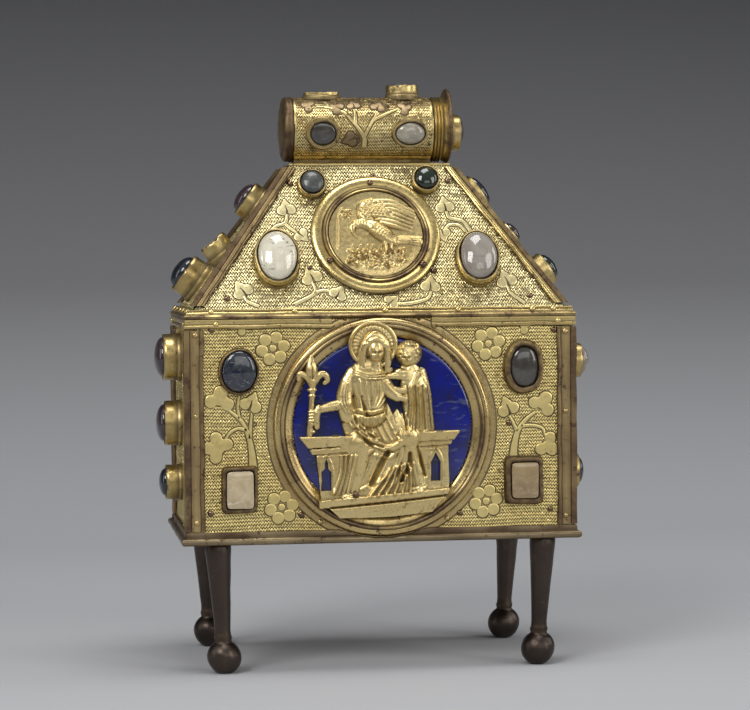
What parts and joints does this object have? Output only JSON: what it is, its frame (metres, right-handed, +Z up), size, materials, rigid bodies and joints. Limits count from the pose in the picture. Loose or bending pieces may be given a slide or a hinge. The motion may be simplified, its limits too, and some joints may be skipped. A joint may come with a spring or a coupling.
{
  "type": "purse reliquary",
  "caption": "House-shaped casket on turned legs, with a hipped roof, a ridge tube with a lift-off lid, set stones, and figure and eagle medallions.",
  "frame": {"origin": "on the floor, under the middle of the casket", "axes": "+X to the right along the front, +Y from the front to the back, +Z up"},
  "size_m": [0.145, 0.0812, 0.194],
  "materials": {
    "gilt": "fire-gilt copper sheet, engraved, olive gold and worn",
    "gilt_bright": "fire-gilt copper, brighter yellow gold",
    "worn_copper": "copper strip with most of its gilding worn away",
    "dark_bronze": "dark brown patinated bronze",
    "enamel_blue": "opaque deep blue enamel, polished and scratched",
    "sapphire": "dark mottled blue stone, polished",
    "rock_crystal": "clear rock crystal over pale foil",
    "grey_crystal": "greyish clear rock crystal",
    "smoky_stone": "dark smoky stone",
    "cream_stone": "cloudy cream stone",
    "honey_stone": "cloudy honey stone",
    "blue_grey_stone": "dull blue-grey stone",
    "green_stone": "dark olive green stone",
    "purple_stone": "dark purple-brown stone",
    "dark_blue_stone": "very dark blue glass stone"
  },
  "bodies": {
    "root": {"front_panel": "gilt", "back_panel": "gilt", "left_end_panel": "gilt", "right_end_panel": "gilt", "eaves_strip_front": "gilt", "eaves_strip_back": "gilt", "eaves_strip_left": "gilt", "eaves_strip_right": "gilt", "base_moulding_front": "gilt", "base_moulding_back": "gilt", "base_moulding_left": "gilt", "base_moulding_right": "gilt", "medallion_ring": "gilt", "ridge_tube": "gilt", "tube_lid": "gilt", "roof_front_panel": "gilt_bright", "roof_back_panel": "gilt_bright", "roof_left_panel": "gilt_bright", "roof_right_panel": "gilt_bright", "seated_figures": "gilt_bright", "eagle_ring": "gilt_bright", "eagle_disc": "gilt_bright", "base_plate": "worn_copper", "corner_strip_front_left": "worn_copper", "corner_strip_front_right": "worn_copper", "corner_strip_back_left": "worn_copper", "corner_strip_back_right": "worn_copper", "hip_strip_front_left": "worn_copper", "hip_strip_front_right": "worn_copper", "hip_strip_back_left": "worn_copper", "hip_strip_back_right": "worn_copper", "tube_end_cap": "worn_copper", "leg_front_left": "dark_bronze", "leg_front_right": "dark_bronze", "leg_back_left": "dark_bronze", "leg_back_right": "dark_bronze", "enamel_disc": "enamel_blue", "front_sapphire": "sapphire", "roof_crystal_left": "rock_crystal", "tube_crystal": "rock_crystal", "roof_crystal_right": "grey_crystal", "right_end_stone_top": "grey_crystal", "front_smoky_stone": "smoky_stone", "tube_dark_stone": "smoky_stone", "tube_top_stone": "smoky_stone", "lid_stone": "smoky_stone", "front_cream_stone": "cream_stone", "front_honey_stone": "honey_stone", "roof_round_stone": "blue_grey_stone", "roof_green_stone": "green_stone", "roof_right_stone_bottom": "green_stone", "left_end_stone_top": "purple_stone", "left_end_stone_middle": "purple_stone", "roof_left_stone_top": "purple_stone", "roof_right_stone_middle": "purple_stone", "left_end_stone_bottom": "dark_blue_stone", "right_end_stone_bottom": "dark_blue_stone", "roof_left_stone_bottom": "dark_blue_stone", "roof_right_stone_top": "dark_blue_stone"}
  },
  "joints": []
}
